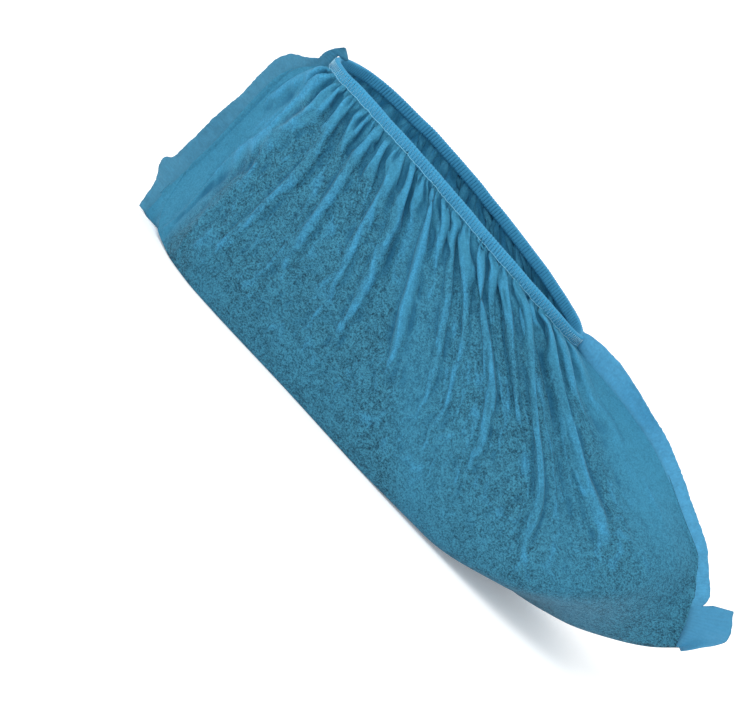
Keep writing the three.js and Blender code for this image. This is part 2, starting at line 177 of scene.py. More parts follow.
# The broad slanting bands in which the painted shade on the web is lighter: place along the cover and half
# width, both in millimetres, and how much lighter, up to 1.
LIGHTER_SHADE_BANDS = (
    (-175.0, 14.0, 0.35),
    (-30.0, 14.0, 0.55),
    (-8.0, 14.0, 0.3),
    (20.0, 22.0, 0.2),
    (72.0, 20.0, 0.42),
    (115.0, 32.0, 0.25),
)

# The seam allowances from the fold of the sole to the rim: share of the way up, then width and lean in
# millimetres.
TOE_SEAM = (
    (0.0, 1.6, 0.4),
    (0.012, 4.8, 0.6),
    (0.03, 9.6, 0.6),
    (0.05, 16.0, 0.0),
    (0.065, 19.6, -0.4),
    (0.085, 20.1, -0.7),
    (0.1, 19.2, -0.9),
    (0.115, 17.8, -1.0),
    (0.127, 17.2, -0.9),
    (0.1315, 4.2, -0.5),
    (0.14, 5.2, 1.0),
    (0.16, 6.8, 2.2),
    (0.2, 6.0, 2.6),
    (0.26, 4.4, 2.6),
    (0.335, 5.3, 3.4),
    (0.425, 5.4, 3.0),
    (0.52, 5.8, 1.2),
    (0.62, 6.6, 0.0),
    (0.72, 8.0, -1.9),
    (0.79, 9.4, -1.4),
    (0.87, 10.5, 0.0),
    (0.94, 10.0, 1.2),
    (0.994, 7.6, 1.4),
)
HEEL_SEAM = (
    (0.0, 2.8, 0.0),
    (0.05, 4.1, 0.2),
    (0.1, 6.0, 0.5),
    (0.135, 8.6, 1.4),
    (0.165, 11.0, 1.8),
    (0.19, 11.7, 1.8),
    (0.212, 9.0, 1.4),
    (0.235, 8.0, 1.0),
    (0.3, 7.9, 0.0),
    (0.36, 7.9, -0.6),
    (0.43, 7.4, -1.0),
    (0.51, 5.8, -0.8),
    (0.59, 6.3, 0.0),
    (0.645, 7.0, 0.5),
    (0.705, 6.8, 1.2),
    (0.76, 5.0, 1.0),
    (0.82, 3.7, 0.6),
    (0.9, 3.9, 0.3),
    (1.0, 6.8, 0.0),
)
# How far the toe strip's ear leans to the near side, and how far its tip is lifted, in millimetres.
EAR_LEAN = 5.5
EAR_LIFT = 3.2
# How far the toe strip's top end leans back towards the hem, in millimetres.
END_LEAN = 4.0
# How deep the strips' roots reach into the sheet, in millimetres.
ROOT_DEPTH = 2.2
# The corner that the heel's seam allowance raises beside and over the hem: its height over the rim's foot,
# and where it starts and ends, out from the rim's end, in millimetres.
HEEL_TAB = (
    (0.0, 0.9, 7.0),
    (3.0, 0.9, 6.3),
    (5.7, 0.9, 5.2),
    (6.1, -3.2, 5.0),
    (7.6, -4.3, 4.1),
    (9.2, -2.0, 2.9),
    (10.8, 0.7, 1.5),
)


# Sizes, colours and the studio, as a user would change them

def length_setting(name, description, default):
    """A length that a user can change."""
    return FloatProperty(name=name, description=description, default=default, unit="LENGTH")


def colour_setting(name, description, default):
    """A colour that a user can change."""
    return FloatVectorProperty(name=name, description=description, default=default, subtype="COLOR",
                               size=3, min=0, max=1)


class CoverSizes(bpy.types.PropertyGroup):
    """Sizes of the worn cover."""

    sole_length: length_setting("Sole length", "Length of the sole that the cover takes", 0.292)
    sole_width: length_setting("Sole width", "Width of the sole that the cover takes", 0.104)
    rim_height: length_setting("Rim height", "Height of the gathered rim over the sole", 0.125)
    rim_length: length_setting("Opening length", "Length of the gathered opening", 0.177)
    rim_width: length_setting("Opening width", "Width of the gathered opening", 0.076)
    rim_front: length_setting("Opening front", "How far its toe end lies before the origin", 0.024)
    wall: length_setting("Wall", "Depth of the outer face under the sole's inner face", 0.0012)
    hem_height: length_setting("Hem height", "Height of the elastic hem", 0.006)
    hem_thickness: length_setting("Hem thickness", "Thickness of the elastic hem", 0.0026)
    rib_pitch: length_setting("Rib pitch", "Distance between the hem's small ribs", 0.00165)
    seam_thickness: length_setting("Seam thickness", "Thickness of the welded seams", 0.0006)


class CoverColours(bpy.types.PropertyGroup):
    """Colours of the non-woven web, with the painted shade and highlights laid on it."""

    # deep and light make the speckled painted shade where the web lies close.
    deep: colour_setting("Deep", "Ground between the fibres on the cover's side", (0.018, 0.095, 0.165))
    light: colour_setting("Light", "Fibres on the cover's side", (0.042, 0.205, 0.305))
    web: colour_setting("Web", "Web that stands free", (0.038, 0.212, 0.34))
    # doubled also gives, lighter, the painted highlights on the ridges.
    doubled: colour_setting("Doubled web", "Web that lies double, at seams and hem", (0.05, 0.29, 0.5))
    # Painted shade: the colour put into creases, the hem's grooves and the toe strip's root line.
    crease: colour_setting("Crease", "Bottom of a crease", (0.01, 0.1, 0.19))
    thread: colour_setting("Thread", "Thread of the hem", (0.16, 0.5, 0.7))


class StudioSettings(bpy.types.PropertyGroup):
    """Camera and light."""

    azimuth: FloatProperty(name="Azimuth", description="Camera's turn from the side towards the toe",
                           default=math.radians(6), subtype="ANGLE")
    elevation: FloatProperty(name="Elevation", description="Camera's angle above the floor",
                             default=math.radians(12), subtype="ANGLE")
    roll: FloatProperty(name="Roll", description="Camera's turn about its own axis",
                        default=math.radians(45), subtype="ANGLE")
    distance: length_setting("Distance", "Camera's distance", 1.6)
    frame_width: length_setting("Frame width", "Width that the picture spans at the object", 0.358)
    key_power: FloatProperty(name="Key light", description="Power of the key light",
                             default=9.0, unit="POWER")
    fill_power: FloatProperty(name="Fill light", description="Power of the fill and back lights",
                              default=3.0, unit="POWER")
    sky: FloatProperty(name="Sky", description="Strength of the white surroundings", default=0.92)


# Shader maths as Python expressions

class Value:
    """A node's output that Python operators extend with Math nodes."""

    def __init__(self, finish, socket):
        self.finish = finish
        self.socket = socket

    def _math(self, operation, a, b):
        return self.finish.node("Math", {"operation": operation}, {0: a, 1: b}).value()

    def __add__(self, other):
        return self._math("ADD", self, other)

    def __sub__(self, other):
        return self._math("SUBTRACT", self, other)

    def __mul__(self, other):
        return self._math("MULTIPLY", self, other)

    def __rsub__(self, other):
        return self._math("SUBTRACT", other, self)

    __radd__ = __add__
    __rmul__ = __mul__


class Step:
    """A node and its outputs."""

    def __init__(self, finish, node):
        self.finish = finish
        self.made = node

    def value(self, name=0):
        return Value(self.finish, self.made.outputs[name])


class Finish:
    """One material and the nodes it is made of."""

    def __init__(self, name):
        self.material = bpy.data.materials.new(name)
        self.material.use_nodes = True
        self.tree = self.material.node_tree
        self.tree.nodes.clear()

    def node(self, kind, settings=None, inputs=None):
        """Adds a node: its settings first, then the values or links of its sockets."""
        made = self.tree.nodes.new("ShaderNode" + kind)
        for key, setting in (settings or {}).items():
            setattr(made, key, setting)
        for key, given in (inputs or {}).items():
            socket = made.inputs[key]
            if isinstance(given, Value):
                self.tree.links.new(given.socket, socket)
            else:
                socket.default_value = given
        return Step(self, made)

    def noise(self, where, scale, detail=2.0, roughness=0.5, distortion=0.0):
        """Cloudy noise from 0 to 1, scale in cells a metre."""
        return self.node("TexNoise", inputs={
            "Vector": where,
            "Scale": scale,
            "Detail": detail,
            "Roughness": roughness,
            "Distortion": distortion,
        }).value()

    def strokes(self, where, turn, long, thin):
        """Thin strokes that lie along a turned direction, from 0 between them to 1 on them."""
        turned = self.node("Mapping", {"vector_type": "POINT"}, {
            "Vector": where,
            "Rotation": (0, turn, 0),
            "Scale": (long, long, thin),
        })
        wave = self.noise(turned.value(), 1.0, 2, 0.6, 0.5)
        offset = self.node("Math", {"operation": "ABSOLUTE"}, {0: wave * 2 - 1}).value()
        return self.between(offset, 0.0, 0.16, 1.0, 0.0)

    def between(self, value, low, high, to_low=0.0, to_high=1.0):
        """A value carried from one range to another, and kept in it."""
        inputs = {"Value": value, "From Min": low, "From Max": high, "To Min": to_low, "To Max": to_high}
        return self.node("MapRange", {"clamp": True}, inputs).value()

    def mix(self, factor, first, second):
        """A colour from first at 0 to second at 1."""
        return self.node("Mix", {"data_type": "RGBA"}, {0: factor, 6: first, 7: second}).value(2)

    def finished(self, surface, through, share):
        """Ends the material: a surface that lets a share of the light through in one colour."""
        light = self.node("BsdfTranslucent", inputs={"Color": through}).value()
        both = self.node("MixShader", inputs={0: share, 1: surface, 2: light}).value()
        self.node("OutputMaterial", inputs={"Surface": both})
        return self.material


def rgba(colour, gain=1.0):
    """A colour made lighter or darker, with its alpha."""
    return tuple(min(1.0, c * gain) for c in colour) + (1.0,)


def web_finish(name, colours, doubled=False):
    """Spun web: pale fibres over a deep ground, with painted shade where the web lies close and in its
    creases, painted highlights on the ridges, and palest where the web lies double.
    """
    f = Finish(name)
    place = f.node("TexCoord").value("Object")
    marks = f.node("Attribute", {"attribute_name": "web"}).value("Color")
    split = f.node("SeparateColor", inputs={"Color": marks})
    close, height = split.value("Red"), split.value("Green")
    cloud = f.noise(place, 60, 3, 0.6)
    mottle = f.noise(place, 260, 3, 0.7, 0.6)
    speck = f.noise(place, 1200, 2, 0.75, 0.4)
    fibre = sum(f.strokes(place, turn, 420, 1500) for turn in (0.3, 1.35, 2.4)) * 0.33
    grain = f.between(mottle * 0.28 + speck * 0.72 + fibre * 0.16, 0.43, 0.66)
    free = f.mix(grain, rgba(colours.web, 0.84), rgba(colours.web, 1.18))
    if doubled:
        # Painted shade: the crease colour in the grooves between the hem's ribs.
        ground = f.mix(f.between(height, 0.25, 0.6), rgba(colours.crease), rgba(colours.doubled))
        base = f.mix(grain * 0.35, ground, rgba(colours.doubled, 1.25))
    else:
        # Painted shade: where the web lies close, a dark speckle of deep ground and light fibres takes over
        # from the free web's colour.
        dark = f.mix(grain, rgba(colours.deep, 0.22), rgba(colours.light, 1.16))
        close_shaded = f.mix(close * f.between(cloud, 0.3, 0.65, 0.85, 1.0), free, dark)
        # Painted shade: the crease colour where the marks sink into a hollow.
        crease_shaded = f.mix(f.between(height, 0.44, 0.1, 0.0, 0.75), close_shaded, rgba(colours.crease))
        # Painted highlight: lighter copies of the doubled web's colour on the crests of the folds.
        crest = f.mix(grain, rgba(colours.doubled, 0.72), rgba(colours.doubled, 1.2))
        base = f.mix(f.between(height, 0.58, 1.0, 0.0, 0.7), crease_shaded, crest)
    relief = fibre * 0.5 + speck * 0.5
    bump = f.node("Bump", inputs={"Height": relief, "Strength": 0.35, "Distance": 0.0004}).value("Normal")
    surface = f.node("BsdfPrincipled", inputs={
        "Base Color": base,
        "Roughness": f.between(grain, 0.0, 1.0, 0.72, 0.54),
        "Normal": bump,
        "Sheen Weight": 0.04,
        "Sheen Roughness": 0.5,
        "Specular IOR Level": 0.12,
    }).value()
    return f.finished(surface, rgba(colours.doubled), 0.18)


# The sheet's form

def ease(value, low, high):
    """A soft step from 0 at low to 1 at high."""
    s = np.clip((value - low) / (high - low), 0, 1)
    return s * s * (3 - 2 * s)


def through_points(at, value, where):
    """A smooth curve through the points that never overshoots them."""
    rise = np.diff(value) / np.diff(at)
    before, after = np.diff(at)[:-1], np.diff(at)[1:]
    first, second = 2 * after + before, after + 2 * before
    level = rise[:-1] * rise[1:] <= 0
    safe = np.where(level, 1.0, rise[:-1]), np.where(level, 1.0, rise[1:])
    inner = np.where(level, 0.0, (first + second) / (first / safe[0] + second / safe[1]))
    slope = np.concatenate([rise[:1], inner, rise[-1:]])
    i = np.clip(np.searchsorted(at, where, side="right") - 1, 0, len(at) - 2)
    span = at[i + 1] - at[i]
    s = np.clip((where - at[i]) / span, 0, 1)
    s2, s3 = s * s, s * s * s
    return (value[i] * (2 * s3 - 3 * s2 + 1) + slope[i] * span * (s3 - 2 * s2 + s)
            + value[i + 1] * (3 * s2 - 2 * s3) + slope[i + 1] * span * (s3 - s2))


class Sheet:
    """The folded sheet: u runs from the heel seam to the toe seam, t from the sole's fold up to the rim."""

    def __init__(self, sizes):
        self.sizes = sizes

    def column(self, name, u):
        at = SECTIONS[:, 0]
        return through_points(at, SECTIONS[:, SECTION_COLUMNS.index(name)], u)

    def smooth(self, u, t, side):
        """Points of the sheet with no fold in it; u, t and side are arrays of one shape."""
        s = self.sizes
        half = s.sole_width / 2
        taper = (1 - np.exp(-(u / HEEL_TAPER) ** 2)) * (1 - np.exp(-(1 - u) / TOE_TAPER))

        def point(name):
            y = self.column(name + "_y", u) * taper if name != "sole" else 0 * u
            return np.stack([s.sole_length * self.column(name + "_x", u), side * half * y,
                             s.rim_height * self.column(name + "_z", u)], -1)

        sole, edge, low, mid = (point(name) for name in ("sole", "edge", "low", "mid"))
        rim = np.stack([s.rim_front + s.rim_length * self.column("rim_x", u),
                        side * s.rim_width * self.column("rim_y", u) / 2,
                        s.rim_height * self.column("rim_z", u) - s.hem_height], -1)
        under = np.clip(t / EDGE_SHARE, 0, 1)[..., None]
        flat = sole + (edge - sole) * under
        flat[..., 0] += (4 * under * (1 - under))[..., 0] * s.sole_length * self.column("bow", u)
        knots = (EDGE_SHARE, LOW_SHARE, MID_SHARE, 1.0)
        points = (edge, low, mid, rim)
        slopes = (
            (edge - sole) / EDGE_SHARE * 0.35,
            (mid - edge) / (MID_SHARE - EDGE_SHARE),
            (rim - low) / (1 - LOW_SHARE),
            (rim - mid) / (1 - MID_SHARE),
        )
        out = flat
        for i in range(3):
            span = knots[i + 1] - knots[i]
            q = np.clip((t - knots[i]) / span, 0, 1)[..., None]
            q2, q3 = q * q, q * q * q
            wall = (points[i] * (2 * q3 - 3 * q2 + 1) + slopes[i] * span * (q3 - 2 * q2 + q)
                    + points[i + 1] * (3 * q2 - 2 * q3) + slopes[i + 1] * span * (q3 - q2))
            out = np.where((t > knots[i])[..., None], wall, out)
        out[..., 2] -= s.wall
        return out

    def outward(self, u, t, side):
        """The direction out of the sheet, turned level towards the rim."""
        step = 1e-3
        u0, t0 = np.clip(u, step, 1 - step), np.clip(t, step, 1 - step)
        along_u = self.smooth(u0 + step, t0, side) - self.smooth(u0 - step, t0, side)
        along_t = self.smooth(u0, t0 + step, side) - self.smooth(u0, t0 - step, side)
        normal = np.cross(along_t, along_u) * side[..., None]
        normal /= np.linalg.norm(normal, axis=-1, keepdims=True)
        normal[..., 2] *= 1 - ease(t, 0.85, 1)
        return normal / np.linalg.norm(normal, axis=-1, keepdims=True)

    def lift(self, u, t, side):
        """How far folds and gathers stand off the smooth sheet, in metres."""
        height = np.zeros_like(u)
        for which, folds in ((-1, NEAR_FOLDS), (1, FAR_FOLDS)):
            for k, (at, lean, half, lowest, depth) in enumerate(folds):
                wander = 0.007 * np.sin(8 * t + 2.1 * k) + 0.004 * np.sin(19 * t + 1.3 * k)
                spread = half * (1 + FOLD_SPREAD * (1 - t))
                steep = 1 if lean >= 0 else -1
                across = np.clip(steep * (u - at - lean * (1 - t) - wander) / spread, -1, 1)
                gentle = np.clip((across + 1) / (1 + STEEP_FROM), 0, 1) ** 1.4
                crest = np.where(across < STEEP_FROM, gentle, 1 - ease(across, STEEP_FROM, 1))
                height += np.where(side == which, depth * ease(t, lowest - 0.04, lowest + 0.4) * crest, 0)
        below = (1 - t) * WALL_LENGTH
        wobble = 0.45 * rough(u * SHORT_GATHERS * 0.6, np.where(side < 0, 17, 24))
        wobble += 0.3 * rough((1 - t) * 22 + u * 9, np.where(side < 0, 18, 25))
        ridge = np.abs(np.cos(math.pi * (SHORT_GATHERS * u + wobble))) ** 0.8 - 0.6
        strength = np.clip(1 + 0.9 * rough(u * SHORT_GATHERS * 0.37, np.where(side < 0, 19, 26)), 0.1, 2)
        reach = 1 + 0.6 * rough(u * SHORT_GATHERS * 0.5, np.where(side < 0, 20, 27))
        height += SHORT_HEIGHT * strength * ridge * (1 - ease(below / reach, SHORT_FADE, SHORT_END))
        at_hem = 1 - 0.6 * ease(t, 0.94, 1)
        return MM * height * at_hem * ends_flat(u)


def ends_flat(u):
    """1 along the sheet, falling to 0 at both seams."""
    return ease(u, 0.012, 0.05) * (1 - ease(u, 0.935, 0.99))


def finer(grid):
    """The grid with a point added between each two, on a smooth curve through them."""
    for axis in (1, 2):
        g = np.moveaxis(grid, axis, 0)
        wide = np.concatenate([2 * g[:1] - g[1:2], g, 2 * g[-1:] - g[-2:-1]])
        between = (9 * (wide[1:-2] + wide[2:-1]) - wide[:-3] - wide[3:]) / 16
        out = np.empty((2 * len(g) - 1, *g.shape[1:]))
        out[::2], out[1::2] = g, between
        grid = np.moveaxis(out, 0, axis)
    return grid


def linked_pairs(shape):
    """For each link of LINKS: the points that it joins, in groups that share none."""
    sides, columns, rows = shape
    index = np.arange(sides * columns * rows).reshape(shape)
    place = np.indices(shape)
    for along, up, hold in LINKS:
        first = index[:, :columns - along, max(0, -up):rows - max(0, up)]
        second = index[:, along:, max(0, up):rows + min(0, up)]
        line = place[1 if along else 2][:, :columns - along, max(0, -up):rows - max(0, up)]
        turn = (line // max(along, up)) % 2
        for group in (0, 1):
            yield first[turn == group], second[turn == group], along, up, hold


def settle(sheet):
    """Lets the web of both sides buckle: its points, their heights over the smooth form, their u and t."""
    random = np.random.RandomState(20)
    offset = None
    for columns, rows, rounds, ripple, stiffness in GRIDS:
        along, up = np.linspace(0, 1, columns + 1), np.linspace(EDGE_SHARE, 1, rows + 1)
        u, t = np.meshgrid(along, up, indexing="ij")
        u, t = np.stack([u, u]), np.stack([t, t])
        side = np.ones_like(u) * np.array([-1, 1])[:, None, None]
        smooth = sheet.smooth(u, t, side)
        normal = sheet.outward(u, t, side)
        folded = smooth + normal * sheet.lift(u, t, side)[..., None]
        drawn_in = ease(t, 0.3, 1.0) ** 1.5 * (1 + 0.45 * rough(u * 9, np.where(side < 0, 5, 6)))
        under_hem = ease(t, 0.84, 0.97) * (1 + 0.5 * rough(u * 23, np.where(side < 0, 7, 8)))
        surplus = (SURPLUS + RIM_SURPLUS * drawn_in + HEM_SURPLUS * under_hem) * ends_flat(u)
        loose = np.ones(u.shape)
        loose[:, [0, -1]] = 0
        loose[:, :, [0, -1]] = 0
        points = folded + (0 if offset is None else finer(offset) * loose[..., None])
        points += normal * (MM * ripple * random.uniform(-1, 1, u.shape) * loose * ends_flat(u))[..., None]

        flat, held = points.reshape(-1, 3), loose.ravel()
        cut = folded.reshape(-1, 3)
        extra = surplus.ravel()
        wide, tall = (np.linalg.norm(np.gradient(folded, axis=k), axis=-1).ravel() for k in (1, 2))
        links = []
        for first, second, right, rise, hold in linked_pairs(u.shape):
            length = np.linalg.norm(cut[second] - cut[first], axis=1)
            level = (right * wide[first]) ** 2
            level /= level + (rise * tall[first]) ** 2
            share = level * (extra[first] + extra[second]) / 2 + (1 - level) * 0.2 * SURPLUS
            weight = held[first] + held[second]
            skips_one = right + abs(rise) == 2 and right * rise == 0
            strength = hold * (stiffness if skips_one else 1)
            pull = np.divide(strength, weight, out=np.zeros_like(weight), where=weight > 0)
            links.append((first, second, length * (1 + share), pull * held[first], pull * held[second]))
        under, out = smooth.reshape(-1, 3), normal.reshape(-1, 3)
        lowest = np.minimum(MM * -0.15, sheet.lift(u, t, side).ravel() - MM * 0.3)
        for _ in range(rounds):
            flat -= out * (MM * 0.004 * held)[:, None]
            for first, second, length, pull_first, pull_second in links:
                apart = flat[second] - flat[first]
                far = np.sqrt(np.einsum("ij,ij->i", apart, apart))
                apart *= ((far - length) / far)[:, None]
                flat[first] += apart * pull_first[:, None]
                flat[second] -= apart * pull_second[:, None]
            height = np.einsum("ij,ij->i", flat - under, out)
            flat += out * ((np.clip(height, lowest, MM * HIGHEST_FOLD) - height) * held)[:, None]
        points = flat.reshape(points.shape)
        offset = points - folded
    height = np.einsum("...i,...i->...", points - smooth, normal)
    fine, broad = (np.stack([part - blurred(part, reach) for part in height]) for reach in (2, 6))
    crisp = fine * 0.9 + broad * 0.25
    points += normal * (crisp * ends_flat(u) * (1 - ease(t, 0.97, 1)))[..., None]
    return points, height + crisp, u, t


def rough(x, seed):
    """Smooth seeded noise along a line, from -1 to 1."""
    x = np.asarray(x, dtype=float)
    values = np.random.RandomState(4321).uniform(-1, 1, 4096)
    cell = np.floor(x).astype(int)
    s = x - cell
    s = s * s * (3 - 2 * s)
    index = cell + np.asarray(seed).astype(int) * 131
    return values[index % len(values)] * (1 - s) + values[(index + 1) % len(values)] * s


def crumple(along, up, seed):
    """Crisp creases where a seeded noise passes nought: 1 on a crease, below 0 away from it."""
    out = np.empty(along.size)
    for i, (x, y) in enumerate(zip(along.ravel(), up.ravel())):
        out[i] = noise.noise((x, y, seed * 5.3))
    return 1 - 6 * np.abs(out.reshape(along.shape))


def crease_heights(along, up, near):
    """Long fine creases that fan out under the hem, slanting ones across them, and a fine crumple."""
    u_run, t_run = along * 36 + 90 * near, up * 3.6
    sway = 0.5 * rough(t_run * 2.3 + along * 7, 31)
    fanned = crumple(u_run + sway, t_run, 1)
    slanting = crumple(u_run * 0.62 + t_run * 1.9, t_run * 2.2 - u_run * 0.2, 2)
    crossing = crumple(u_run * 0.5 - t_run * 2.4, t_run * 1.6 + u_run * 0.16, 3)
    small = crumple(u_run * 2.1, t_run * 5.5, 4)
    heights = (0.25 + 0.35 * ease(up, 0.34, 0.7)) * np.maximum(fanned, -0.2)
    heights += 0.4 * np.maximum(slanting, -0.2) + 0.3 * np.maximum(crossing, -0.2) + 0.1 * small
    return heights


def close_shade_mask(points, along, up, near, relief):
    """Where painted shade goes on the web, for its finish: 1 where the web lies close and gets the darkest
    painted shade, 0 where it stands free.
    """
    patch = rough(points[..., 0] * 30, 40) * rough(points[..., 2] * 40 + points[..., 0] * 12, 41)
    slant = (points[..., 0] + points[..., 2]) / MM - BAND_HEIGHT + FAR_BAND_SHIFT * ~near
    free = sum(amount * np.exp(-((slant - place) / width) ** 2) for place, width, amount in LIGHTER_SHADE_BANDS)
    close = ease(along, 0.062, 0.09) * (1 - ease(along, 0.9, 0.96) * ease(up, 0.05, 0.55))
    close *= (1 - 0.8 * ease(up, 0.86, 0.98)) * (1.15 - free)
    # Raised folds get less of the painted shade, so they are painted lighter.
    return np.clip(close * (0.95 + 0.3 * patch) - 0.17 * np.clip(relief - 0.4, 0, 4), 0, 1)


def heel_crease_shadow(along, up):
    """The painted shadow line of the long crease that ends the heel's pouch: 1 on its line, 0 away from it."""
    from_line = (along - HEEL_CREASE - HEEL_CREASE_LEAN * (1 - up)) / HEEL_CREASE_HALF
    return np.exp(-from_line ** 2) * ease(up, 0.2, 0.42) * (1 - ease(up, 0.86, 0.97))


def blurred(grid, reach):
    """Each value's mean over its neighbours along the sheet."""
    total = np.zeros_like(grid)
    padded = np.pad(grid, ((reach, reach), (0, 0)), mode="edge")
    for k in range(2 * reach + 1):
        total += padded[k:k + len(grid)]
    return total / (2 * reach + 1)


def mesh_object(name, points, faces, material, smooth=True):
    """A new object of these faces, in the scene."""
    mesh = bpy.data.meshes.new(name)
    mesh.from_pydata([tuple(p) for p in points], [], faces)
    mesh.update()
    mesh.materials.append(material)
    if smooth:
        mesh.polygons.foreach_set("use_smooth", [True] * len(mesh.polygons))
    made = bpy.data.objects.new(name, mesh)
    bpy.context.scene.collection.objects.link(made)
    return made


def mark_web(made, close, height):
    """Stores two marks for the finish: on the sheet, where painted shade goes and where its painted highlights
    and crease shade go.
    """
    layer = made.data.color_attributes.new("web", "FLOAT_COLOR", "POINT")
    colours = np.zeros((len(made.data.vertices), 4), dtype=np.float32)
    colours[:, 0] = close
    colours[:, 1] = height
    colours[:, 3] = 1
    layer.data.foreach_set("color", colours.ravel())


class COVER_OT_body(bpy.types.Operator):
    """Make the folded and gathered sheet of the cover"""

    bl_idname = "cover.body"
    bl_label = "Cover body"

    def execute(self, context):
        sizes = context.scene.cover_sizes
        sheet = Sheet(sizes)
        wall, relief, u, t = settle(sheet)
        sole_t = np.linspace(0, EDGE_SHARE, SOLE_ROWS + 1)[:-1]
        columns = u.shape[1]
        sole_u, sole_t = np.meshgrid(np.linspace(0, 1, columns), sole_t, indexing="ij")
        sole = [sheet.smooth(sole_u, sole_t, np.full_like(sole_u, side)) for side in (-1, 1)]

        def near_to_far(near, far):
            """One grid from the near rim under the sole to the far rim."""
            return np.concatenate([near[:, ::-1], far[:, 1:]], 1)

        def over_wall(near, far):
            """Values of the two walls in that grid, with 0 on the sole."""
            return near_to_far(*(np.concatenate([0 * sole_u, part], 1) for part in (near, far)))

        points = near_to_far(*(np.concatenate([sole[k], wall[k]], 1) for k in (0, 1)))
        up = near_to_far(*(np.concatenate([sole_t, part], 1) for part in t))
        along = np.broadcast_to(np.linspace(0, 1, columns)[:, None], up.shape)
        near = np.arange(points.shape[1]) < points.shape[1] // 2
        loose = over_wall(*(ease(wall_t, 0.28, 0.4) * ends_flat(wall_u) * (1 - 0.8 * ease(wall_t, 0.92, 1))
                            for wall_t, wall_u in zip(t, u)))
        rounding = ease(up, 0.04, 0.14) * (1 - ease(up, 0.34, 0.46))
        rounding *= 0.5 * (ease(along, 0.5, 0.78) * (1 - ease(along, 0.95, 0.995)))
        for _ in range(EDGE_ROUNDS):
            middle_way = (points[:, :-2] + points[:, 2:]) / 2
            points[:, 1:-1] += rounding[:, 1:-1, None] * (middle_way - points[:, 1:-1])
        creases = crease_heights(along, up, near)
        points[..., 1] += np.sign(points[..., 1]) * MM * creases * loose
        points[:, [0, -1], 2] += MM * INTO_HEM

        # both sides share their points in the two end seams
        middle = (points.shape[1] - 1) // 2
        index = np.arange(points.shape[0] * points.shape[1]).reshape(points.shape[:2])
        for i in (0, -1):
            points[i, :, 1] = 0
            index[i, middle + 1:] = index[i, :middle][::-1]
        a, b = index[:-1, :-1].ravel(), index[:-1, 1:].ravel()
        c, d = index[1:, 1:].ravel(), index[1:, :-1].ravel()
        used, packed = np.unique(np.stack([a, b, c, d], 1), return_inverse=True)
        faces = [tuple(dict.fromkeys(face)) for face in packed.reshape(-1, 4).tolist()]
        material = web_finish("non_woven_web", context.scene.cover_colours)
        made = mesh_object("cover_sheet", points.reshape(-1, 3)[used], faces, material)

        relief = over_wall(*(part / MM for part in relief))
        # Marks for painted light and shade: what stands over its surroundings gets a painted highlight and
        # hollows painted shade, the small creases pale painted lines and the heel's crease a painted shadow
        # line.
        ridge = relief - blurred(relief, 5) + CREASE_HIGHLIGHT_AND_SHADE * creases * loose
        ridge -= HEEL_CREASE_SHADOW * heel_crease_shadow(along, up)
        height = np.clip(0.5 + 0.28 * ridge, 0, 1)
        # Where painted shade goes, as the web lies close.
        close = close_shade_mask(points, along, up, near, relief)
        mark_web(made, close.ravel()[used], height.ravel()[used])
        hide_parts("cover_body")
        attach(made, "root")
        return {"FINISHED"}


def thread_finish(name, colours):
    """Fine matte thread."""
    f = Finish(name)
    grain = f.noise(f.node("TexCoord").value("Object"), 900)
    surface = f.node("BsdfPrincipled", inputs={
        "Base Color": f.mix(grain, rgba(colours.thread, 0.8), rgba(colours.thread, 1.15)),
        "Roughness": 0.55,
        "Sheen Weight": 0.3,
    }).value()
    f.node("OutputMaterial", inputs={"Surface": surface})
    return f.material


def rim_path(sheet, count):
    """Points of the opening's smooth outline, at even steps, with the direction out of it at each."""
    u = np.linspace(0, 1, RIM_POINTS)
    near = sheet.smooth(u, np.ones_like(u), -np.ones_like(u))
    far = sheet.smooth(u, np.ones_like(u), np.ones_like(u))[::-1]
    loop = np.concatenate([near, far[1:-1]])
    steps = np.linalg.norm(np.roll(loop, -1, 0) - loop, axis=1)
    run = np.concatenate([[0], np.cumsum(steps)])
    closed = np.concatenate([loop, loop[:1]])
    want = np.linspace(0, run[-1], count, endpoint=False)
    path = np.stack([np.interp(want, run, closed[:, k]) for k in range(3)], 1)
    reach = 9
    for _ in range(3):
        path = sum(np.roll(path, k, 0) for k in range(-reach, reach + 1)) / (2 * reach + 1)
    tangent = np.roll(path, -1, 0) - np.roll(path, 1, 0)
    tangent[:, 2] = 0
    tangent /= np.linalg.norm(tangent, axis=1, keepdims=True)
    out = np.stack([tangent[:, 1], -tangent[:, 0], np.zeros(count)], 1)
    return path, out, want, run[-1]


